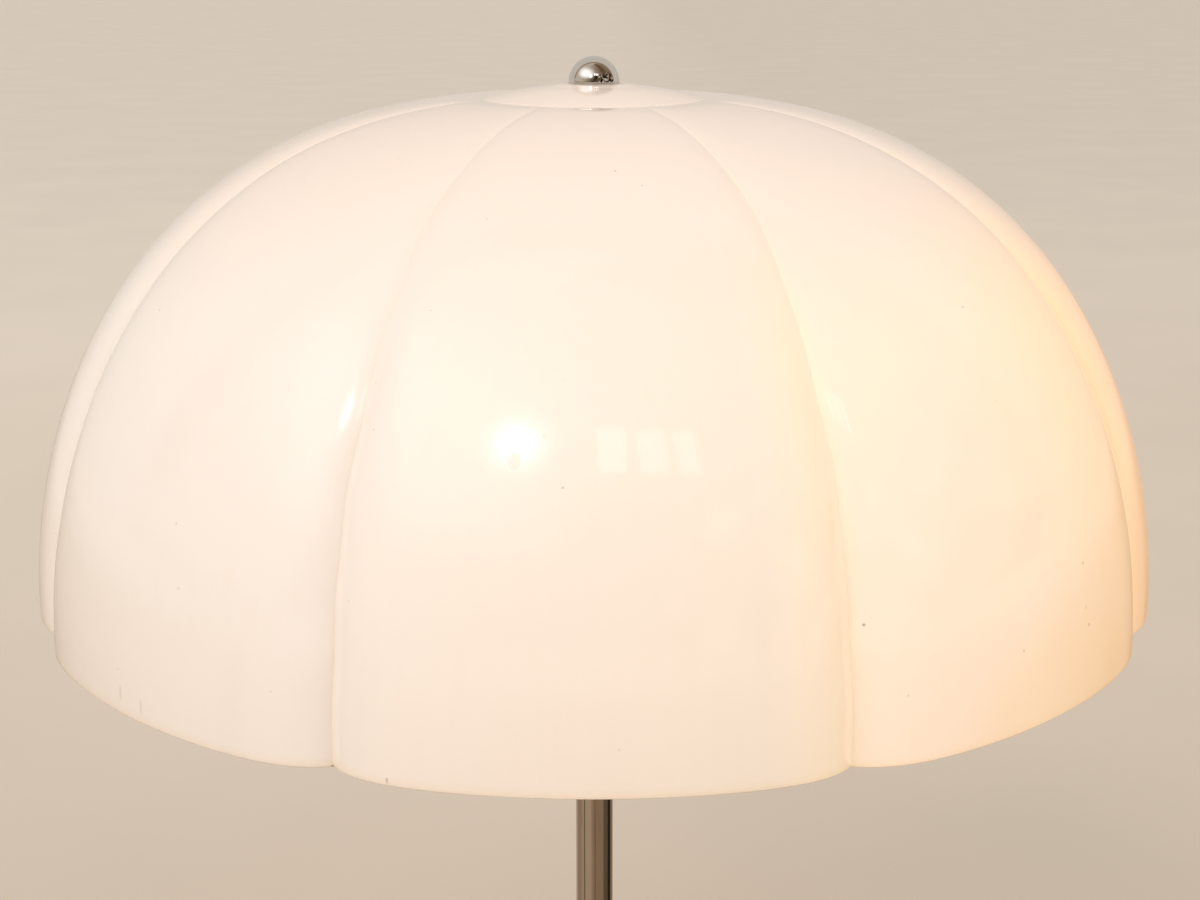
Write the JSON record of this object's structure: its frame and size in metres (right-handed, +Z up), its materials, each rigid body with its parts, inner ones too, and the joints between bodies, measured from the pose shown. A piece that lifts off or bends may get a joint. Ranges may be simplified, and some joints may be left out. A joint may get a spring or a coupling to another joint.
{
  "type": "table lamp",
  "caption": "Table lamp with a lobed opal dome shade, half-ball finial, plated stem, round weighted base and sideways screw sockets with turn-knob switches.",
  "frame": {"origin": "centre of the base's underside, on the surface that the lamp stands on", "axes": "+Z up along the stem, +Y towards the lead inlet at the rear, -Y the front lobe"},
  "size_m": [0.56, 0.56, 0.6772],
  "materials": {
    "opal_acrylic": "glossy opal white",
    "chrome": "polished plating",
    "felt": "pressed felt",
    "cast_iron": "as cast",
    "steel": "zinc plated",
    "brass": "machined",
    "socket_brass": "lacquered, slightly dull",
    "black_plastic": "moulded",
    "yellow_plastic": "moulded",
    "brown_plastic": "moulded",
    "fibre": "varnished",
    "lead_sleeve": "insulation",
    "rubber": "matte",
    "white_nylon": "moulded",
    "solder": "dull",
    "black_glass": "fused",
    "bulb_metal": "rolled thread",
    "clear_glass": "clear",
    "frosted_glass": "frosted white",
    "frosted_glass_lit": "frosted white, lit warm"
  },
  "bodies": {
    "stand": {"felt_pad": "felt", "base_weight": "cast_iron", "base_shell": "chrome", "inlet_bushing": "black_plastic", "base_lock_washer": "steel", "base_nut": "brass", "stem_collar": "chrome", "threaded_rod": "brass", "stem_tube": "chrome", "stem_cap": "chrome", "cluster_body": "chrome", "cluster_cover": "chrome", "cluster_nuts": "brass", "wire_connectors": "yellow_plastic", "left_arm": "chrome", "right_arm": "chrome", "left_socket_cap": "socket_brass", "right_socket_cap": "socket_brass", "left_socket_shell": "socket_brass", "right_socket_shell": "socket_brass", "left_liner": "fibre", "right_liner": "fibre", "left_socket_core": "brown_plastic", "right_socket_core": "brown_plastic", "left_screw_shell": "brass", "right_screw_shell": "brass", "left_centre_contact": "brass", "right_centre_contact": "brass", "left_terminal_screws": "brass", "right_terminal_screws": "brass", "left_inner_leads": "lead_sleeve", "right_inner_leads": "lead_sleeve", "shade_rod": "brass", "rod_sleeve": "chrome", "shade_rod_nut": "brass", "shade_rest": "chrome", "shade_washer": "rubber"},
    "shade_bushing": {"shade_bushing": "white_nylon", "finial_washer": "chrome"},
    "shade": {"shade": "opal_acrylic"},
    "finial_insert": {"finial_insert": "brass"},
    "finial": {"finial": "chrome"},
    "left_bulb_tip": {"left_bulb_tip": "solder"},
    "left_bulb": {"left_bulb_insulator": "black_glass", "left_bulb_cap": "bulb_metal", "left_bulb_stem": "clear_glass", "left_bulb_glass": "frosted_glass"},
    "left_switch": {"left_switch_shaft": "brass", "left_switch_knob": "black_plastic"},
    "right_bulb_tip": {"right_bulb_tip": "solder"},
    "right_bulb": {"right_bulb_insulator": "black_glass", "right_bulb_cap": "bulb_metal", "right_bulb_stem": "clear_glass", "right_bulb_glass": "frosted_glass_lit"},
    "right_switch": {"right_switch_shaft": "brass", "right_switch_knob": "black_plastic"}
  },
  "joints": [
    {"name": "shade_lift", "type": "slide", "parent": "stand", "child": "shade_bushing", "axis": [0, 0, 1], "range_m": [0, 0.28]},
    {"name": "shade_turn", "type": "hinge", "parent": "shade_bushing", "child": "shade", "pos_m": [0, 0, 0.66], "axis": [0, 0, 1], "continuous": true},
    {"name": "finial_rise", "type": "slide", "parent": "shade_bushing", "child": "finial_insert", "axis": [0, 0, 1], "range_m": [0, 0.0071]},
    {"name": "finial_turn", "type": "hinge", "parent": "finial_insert", "child": "finial", "pos_m": [0, 0, 0.665], "axis": [0, 0, 1], "range_deg": [0, 2700]},
    {"name": "left_bulb_out", "type": "slide", "parent": "stand", "child": "left_bulb_tip", "axis": [-1, 0, 0], "range_m": [0, 0.0182]},
    {"name": "left_bulb_turn", "type": "hinge", "parent": "left_bulb_tip", "child": "left_bulb", "pos_m": [-0.08, 0, 0.53], "axis": [-1, 0, 0], "range_deg": [0, 1800]},
    {"name": "left_switch_turn", "type": "hinge", "parent": "stand", "child": "left_switch", "pos_m": [-0.05705, 0, 0.51], "axis": [0, 0, -1], "continuous": true},
    {"name": "right_bulb_out", "type": "slide", "parent": "stand", "child": "right_bulb_tip", "axis": [1, 0, 0], "range_m": [0, 0.0182]},
    {"name": "right_bulb_turn", "type": "hinge", "parent": "right_bulb_tip", "child": "right_bulb", "pos_m": [0.08, 0, 0.53], "axis": [1, 0, 0], "range_deg": [0, 1800]},
    {"name": "right_switch_turn", "type": "hinge", "parent": "stand", "child": "right_switch", "pos_m": [0.05705, 0, 0.51], "axis": [0, 0, -1], "continuous": true}
  ],
  "couplings": [
    {"joint": "finial_rise", "follows": "finial_turn", "m_per_rad": 0.00014972},
    {"joint": "left_bulb_out", "follows": "left_bulb_turn", "m_per_rad": 0.0005775},
    {"joint": "right_bulb_out", "follows": "right_bulb_turn", "m_per_rad": 0.0005775}
  ]
}
